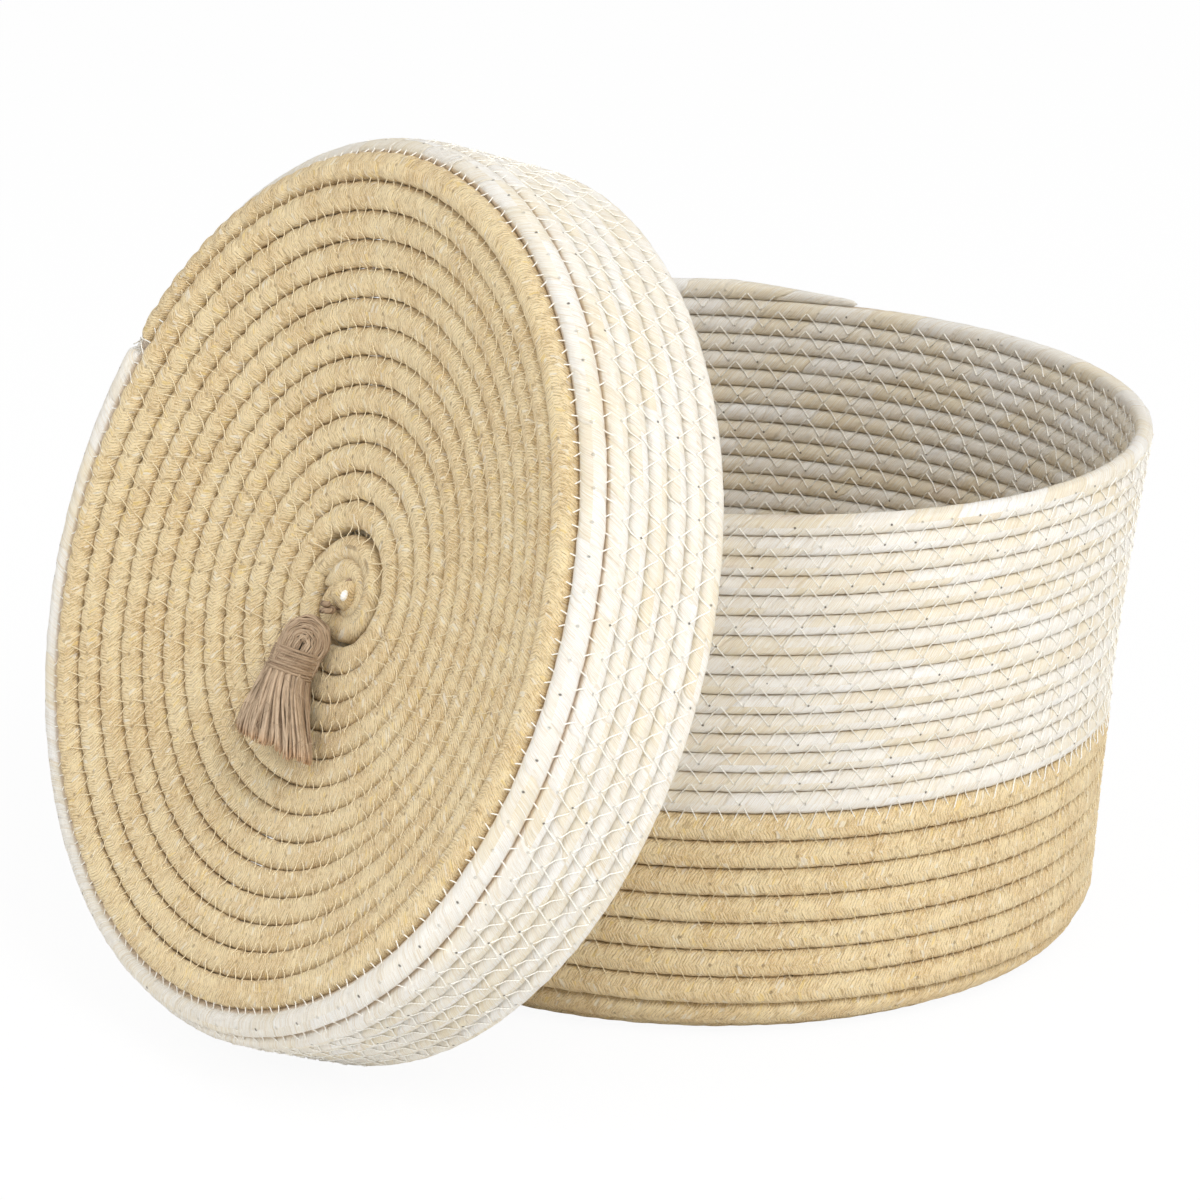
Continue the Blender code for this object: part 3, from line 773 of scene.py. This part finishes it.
tasselSet = {
    "twineRadius": 0.0010, "twineGap": 0.0003, "loopSpread": 0.0012, "endLift": 0.0009,
    "knotGap": 0.0003, "knotRadius": 0.0024, "knotWraps": 1.5, "knotSlit": 0.0006,
    "knotWidth": 1.15,
    "knotAngle": radians(125), "endAngle": radians(14), "clearance": 0.0005, "lean": radians(5),
    "length": 0.0530, "stations": (0, 0.15, 0.32, 0.44, 1), "tip": 0.35,
    "widths": (0.0096, 0.0088, 0.0265), "depths": (0.0085, 0.0080, 0.0100),
    "bindingRadius": 0.00055, "bindingTurns": 9, "strandRadius": 0.00052, "flute": 0.10,
    "drift": 0.0115, "locks": 19, "lockStrands": 19, "lockRadius": 0.0023,
    "lockShares": (0.42, 0.92), "sway": 0.0008, "core": 15, "coreSize": 3.0,
    "eye": (0.0010, 0.215), "archStep": 0.00062, "archTurn": radians(47), "archEnd": 0.43,
    "archLayers": (-0.8, -0.25, 0.35, 0.72, 1.0), "archScatter": 0.00020,
    "hairs": 240, "hairSize": 0.14, "hairLength": (0.003, 0.007), "endSize": 0.05,
}
loopRadius = ropeSet["solidRadius"] + tasselSet["twineGap"] + tasselSet["twineRadius"]
knotReach = tasselSet["knotRadius"] + tasselSet["twineRadius"]
knotDistance = loopRadius + tasselSet["twineRadius"] + tasselSet["knotGap"] + knotReach
knotUp = knotDistance * cos(tasselSet["knotAngle"])
knotOut = knotDistance * sin(tasselSet["knotAngle"]) - ropeDrop
dishDepth = float(shellAt(lidSet, np.array(0.0))[1])
dishFrame = lidFrame @ Matrix.Translation((0, 0, -dishDepth))
yarnFrame = (dishFrame @ Matrix.Translation((0, knotUp, tasselSet["clearance"]))
             @ Matrix.Rotation(-tasselSet["lean"], 4, "X"))
tasselTop = -knotReach - tasselSet["twineGap"]


def eased(share, values):
    place = np.interp(share, tasselSet["stations"], range(len(values)))
    lower = np.minimum(place.astype(int), len(values) - 2)
    ease = (1 - np.cos(pi * (place - lower))) / 2
    values = np.array(values)
    return values[lower] + ease * (values[lower + 1] - values[lower])


# Half width, half depth, distance of the middle from the lid, and the skirt's drift
def tasselShape(share):
    head, neck, hem = tasselSet["widths"]
    width = eased(share, (tasselSet["tip"] * head, head, neck, neck, hem))
    head, neck, hem = tasselSet["depths"]
    depth = eased(share, (tasselSet["tip"] * head, head, neck, neck, hem))
    reach = neck + tasselSet["twineGap"] + 2 * tasselSet["bindingRadius"]
    middle = eased(share, (knotOut - tasselSet["clearance"], head, reach, reach,
                           hem * (1 + tasselSet["flute"])))
    skirt = tasselSet["stations"][3]
    drift = tasselSet["drift"] * np.clip((share - skirt) / (1 - skirt), 0, 1) ** 1.5
    return width, depth, middle, drift


def facing(points, turn):
    outward = np.stack([np.cos(turn), np.zeros(len(turn)), np.sin(turn)], -1)
    return {"points": points, "outward": outward}


# A strand of the skirt: it keeps its place in a lock, and the lock its angle round the tassel
def strandLine(angle, offset, first, last, count, rng):
    share = np.linspace(first, last, count)
    width, depth, middle, drift = tasselShape(share)
    spread = (share - first) / (last - first)
    lock = tasselSet["lockRadius"] * np.interp(spread, (0, 1), tasselSet["lockShares"])
    turn = angle + rng.normal(0, 0.05) * spread ** 2
    inner = 1 - lock / depth
    sway = rng.normal(0, tasselSet["sway"], 2)[:, None]
    sway = sway * np.sin(spread * pi * rng.uniform(0.8, 1.6))
    points = np.stack([
        drift + inner * width * np.cos(turn) + offset[0] * lock + sway[0],
        tasselTop - share * tasselSet["length"],
        middle + inner * depth * np.sin(turn) + offset[1] * lock + sway[1]], -1)
    return facing(points, turn)


# The strands of the head are folded over the loop: arches about the eye it runs through
def archLine(reach, layer, rng):
    eyeAcross, eyeShare = tasselSet["eye"]
    head, neck, _ = tasselSet["widths"]
    legShare = np.linspace(tasselSet["archEnd"], eyeShare, 6)
    share = np.concatenate([legShare, np.full(9, eyeShare), legShare[::-1]])
    bend = np.concatenate([np.full(6, pi), np.linspace(pi, 0, 11)[1:-1], np.full(6, 0.0)])
    _, depth, middle, _ = tasselShape(share)
    narrow = 1 - (1 - neck / head) * np.clip((share - eyeShare) / 0.13, 0, 1)
    across = eyeAcross * narrow + reach * narrow * np.cos(bend)
    up = tasselTop - share * tasselSet["length"] + reach * 1.12 * np.sin(bend)
    bulge = np.sqrt(np.clip(1 - (across / head) ** 2, 0.05, 1))
    bulge = bulge * (1 - 0.25 * np.sin(bend) * reach / head)
    out = layer * depth * 0.93 * bulge
    turn = tasselSet["archTurn"]
    points = np.stack([across * cos(turn) + out * sin(turn), up,
                       middle + out * cos(turn) - across * sin(turn)], -1)
    points += rng.normal(0, tasselSet["archScatter"], points.shape)
    return facing(points, np.full(len(bend), pi / 2 - turn))


# A stray fibre that stands off the tassel
def hairLine(rng):
    share = rng.uniform(0.02, 0.97)
    angle = rng.uniform(-0.2, pi + 0.2)
    width, depth, middle, drift = (float(value) for value in tasselShape(np.array(share)))
    start = np.array((drift + width * cos(angle), tasselTop - share * tasselSet["length"],
                      middle + depth * sin(angle)))
    way = np.array((cos(angle) * 0.7, rng.uniform(-1.0, 0.1), sin(angle) * 0.5))
    way = way + rng.normal(0, 0.35, 3)
    curl = rng.normal(0, 0.5, 3)
    step = np.linspace(-0.1, 1, 9)[:, None] * rng.uniform(*tasselSet["hairLength"])
    points = start + way * step + curl * step ** 2 / 0.008
    return facing(points, np.full(9, angle))


# A line of one size and tone that tapers to nothing at both ends
def cordOf(points, outward, tone):
    size = np.ones(len(points))
    size[[0, -1]] = tasselSet["endSize"]
    return {"points": points, "outward": outward, "size": size, "tone": tone, "tip": 0.0}


def makeTassel():
    rng = np.random.default_rng(41)
    neckShare = (tasselSet["stations"][2] + tasselSet["stations"][3]) / 2
    strands = []

    def keep(line, tone, size, tipFrom=None):
        count = len(line["points"])
        length = np.linspace(0, 1, count)
        line["tone"] = np.clip(tone, 0, 1)
        line["size"] = np.full(count, size)
        line["size"][[0, -1]] *= 0.25
        line["tip"] = np.clip((length - tipFrom) / 0.1, 0, 1) if tipFrom else np.zeros(count)
        strands.append(line)

    for lock in range(tasselSet["locks"]):
        angle = 2 * pi * (lock + rng.uniform(-0.22, 0.22)) / tasselSet["locks"]
        lockTone, lockEnd = rng.uniform(0.1, 0.8), rng.uniform(0.955, 0.99)
        for number in range(tasselSet["lockStrands"]):
            side = number * 2.4
            offset = np.array((cos(side), sin(side)))
            offset = np.sqrt((number + 0.5) / tasselSet["lockStrands"]) * offset
            front = offset[0] * cos(angle) + offset[1] * sin(angle)
            end = lockEnd + rng.uniform(-0.035, 0.01)
            line = strandLine(angle, offset, neckShare, end, 14, rng)
            # Painted shade: strands on a lock's inner side, towards the tassel's middle, take a darker
            # tone, those on its outer side a paler one
            keep(line, lockTone + 0.25 * front + rng.normal(0, 0.12), rng.uniform(0.8, 1.2), 0.90)
    # The core's thick strands take the darkest tone: painted shade in the tassel's middle
    for number in range(tasselSet["core"]):
        angle = number * 2.4
        line = strandLine(angle, (0, 0), neckShare, 0.93, 10, rng)
        line["points"][:, 0] *= 0.45
        keep(line, 0.0, tasselSet["coreSize"])
    for layer in tasselSet["archLayers"]:
        reach = tasselSet["archStep"] * 1.2
        while reach < tasselSet["widths"][0] - tasselSet["strandRadius"]:
            line = archLine(reach, layer + rng.normal(0, 0.03), rng)
            keep(line, rng.uniform(0.0, 0.9), rng.uniform(0.7, 1.1))
            reach += tasselSet["archStep"]
    for _ in range(tasselSet["hairs"]):
        keep(hairLine(rng), rng.uniform(0.2, 0.9), tasselSet["hairSize"])
    yarn = sweep("tasselYarn", strands, jute, yarnFrame,
                 Half_Width=tasselSet["strandRadius"], Half_Depth=tasselSet["strandRadius"], Sides=6)

    width, depth, middle, _ = tasselShape(np.array([neckShare]))
    seat = (tasselSet["twineGap"] + tasselSet["bindingRadius"]) * 0.4
    bindings = []
    for start in (0.0, 0.5):
        turns = np.linspace(0, tasselSet["bindingTurns"], tasselSet["bindingTurns"] * 20 + 1)
        wave = 0.0002 * np.sin(turns * 9.1 + start * 7)
        angle = 2 * pi * (turns + start)
        pitch = 2 * tasselSet["bindingRadius"] * 0.95
        drop = tasselSet["bindingTurns"] / 2 - turns + 0.6 * np.cos(angle) + start
        points = np.stack([
            (width + seat + wave - 0.0002 * start) * np.cos(angle),
            tasselTop - neckShare * tasselSet["length"] + drop * pitch + wave,
            middle + (depth + seat + wave) * np.sin(angle)], -1)
        bindings.append(cordOf(**facing(points, angle), tone=0.25 + 0.4 * start))
    binding = sweep("tasselBinding", bindings, jute, yarnFrame, Half_Width=tasselSet["bindingRadius"],
                    Half_Depth=tasselSet["bindingRadius"], Sides=7)

    wraps = tasselSet["knotWraps"]
    turns = np.linspace(0, wraps, 34)
    up = (2 * tasselSet["twineRadius"] + tasselSet["knotSlit"]) * (wraps / 2 - turns)
    ball = np.sqrt(1 - (up / tasselSet["knotRadius"]) ** 2) * tasselSet["knotRadius"]
    angle = 2 * pi * turns
    points = np.stack([ball * np.cos(angle), knotUp + up, knotOut + ball * np.sin(angle)], -1)
    knotLine = cordOf(**facing(points, angle), tone=0.3)
    knot = sweep("tasselKnot", [knotLine], juteTwine, dishFrame, Half_Depth=tasselSet["twineRadius"],
                 Half_Width=tasselSet["twineRadius"] * tasselSet["knotWidth"], Sides=10)

    share = np.linspace(0, 1, 41)
    first = tasselSet["knotAngle"] - tasselSet["endAngle"]
    angle = first + (2 * tasselSet["endAngle"] - 2 * pi) * share
    near = np.minimum(share, 1 - share) * 14
    reach = loopRadius + tasselSet["endLift"] * np.clip(1 - near, 0, 1)
    points = np.stack([tasselSet["loopSpread"] * (1 - 2 * share), reach * np.cos(angle),
                       reach * np.sin(angle) - ropeDrop], -1)
    outward = np.stack([np.zeros(41), np.cos(angle), np.sin(angle)], -1)
    loop = sweep("hangingLoop", [cordOf(points, outward, 0.3)], juteTwine, dishFrame,
                 Half_Width=tasselSet["twineRadius"], Half_Depth=tasselSet["twineRadius"], Sides=10)
    for piece, node, body, slot in (
            (yarn, "tassel_yarn", "tassel", "tassel_jute"),
            (binding, "tassel_binding", "tassel", "binding_jute"),
            (knot, "tassel_knot", "tassel_loop", "knot_twine"),
            (loop, "hanging_loop", "tassel_loop", "loop_twine")):
        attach(piece, body)
        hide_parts(node)


makeTassel()
print("tassel made")


# Stage, light and camera

stageSet = {
    "floor": (0.94, 0.94, 0.935), "size": 8.0, "white": 0.94, "world": 0.67,
    "lamps": (("key", (-0.2, -2.2, 2.3), 1.6, 49), ("left", (-2.4, -0.9, 1.6), 1.6, 21),
              ("right", (2.0, -1.4, 1.7), 1.8, 11)),
    "aim": (0, 0, 0.12),
}


def makeStage():
    half = stageSet["size"] / 2
    mesh = bpy.data.meshes.new("floor")
    corners = [(-half, -half, 0), (half, -half, 0), (half, half, 0), (-half, half, 0)]
    mesh.from_pydata(corners, [], [(0, 1, 2, 3)])
    floor = bpy.data.objects.new("floor", mesh)
    bpy.context.scene.collection.objects.link(floor)
    finish = bpy.data.materials.new("paleFloor")
    finish.use_nodes = True
    web = Web(finish.node_tree)
    shader = finish.node_tree.nodes["Principled BSDF"]
    shader.inputs["Base Color"].default_value = (*stageSet["floor"], 1)
    shader.inputs["Roughness"].default_value = 0.95
    shader.inputs["Specular IOR Level"].default_value = 0.0
    white = web.node("ShaderNodeEmission", None, {"Color": (1.0, 1.0, 1.0), "Strength": 1.0})
    seen = web.node("ShaderNodeLightPath", out="Is Camera Ray")
    both = web.node("ShaderNodeMixShader", None, {
        0: seen * stageSet["white"], 1: Value(web, shader.outputs[0]), 2: white})
    finish.node_tree.links.new(both.socket, finish.node_tree.nodes["Material Output"].inputs["Surface"])
    mesh.materials.append(finish)

    world = bpy.data.worlds.new("studio")
    bpy.context.scene.world = world
    world.use_nodes = True
    web = Web(world.node_tree)
    background = world.node_tree.nodes["Background"]
    path = web.node("ShaderNodeLightPath", out="Is Camera Ray")
    strength = path * (1.0 - stageSet["world"]) + stageSet["world"]
    background.inputs["Color"].default_value = (1.0, 1.0, 1.0, 1.0)
    world.node_tree.links.new(strength.socket, background.inputs["Strength"])


def makeLamp(name, place, size, power):
    lamp = bpy.data.lights.new(name, "AREA")
    lamp.shape = "DISK"
    lamp.size = size
    lamp.energy = power
    holder = bpy.data.objects.new(name, lamp)
    bpy.context.scene.collection.objects.link(holder)
    holder.location = place
    away = Vector(stageSet["aim"]) - Vector(place)
    holder.rotation_euler = away.to_track_quat("-Z", "Y").to_euler()


viewSet = {
    "azimuth": -33.87, "elevation": 18.75, "roll": 2.06,
    "target": (-0.0325, 0.0210, 0.1218), "distance": 2.8537, "lens": 215.2,
}


def makeCamera():
    turn, lift = radians(viewSet["azimuth"]), radians(viewSet["elevation"])
    away = Vector((sin(turn) * cos(lift), -cos(turn) * cos(lift), sin(lift)))
    target = Vector(viewSet["target"])
    camera = bpy.data.objects.new("camera", bpy.data.cameras.new("camera"))
    bpy.context.scene.collection.objects.link(camera)
    camera.data.lens = viewSet["lens"]
    camera.data.sensor_width = 36
    camera.data.clip_end = 50
    place = target + away * viewSet["distance"]
    look = (target - place).to_track_quat("-Z", "Y").to_matrix().to_4x4()
    roll = Matrix.Rotation(radians(viewSet["roll"]), 4, "Z")
    camera.matrix_world = Matrix.Translation(place) @ look @ roll
    bpy.context.scene.camera = camera


makeStage()
for lamp in stageSet["lamps"]:
    makeLamp(*lamp)
makeCamera()
bpy.context.scene.view_settings.view_transform = "Standard"
print("stage made")
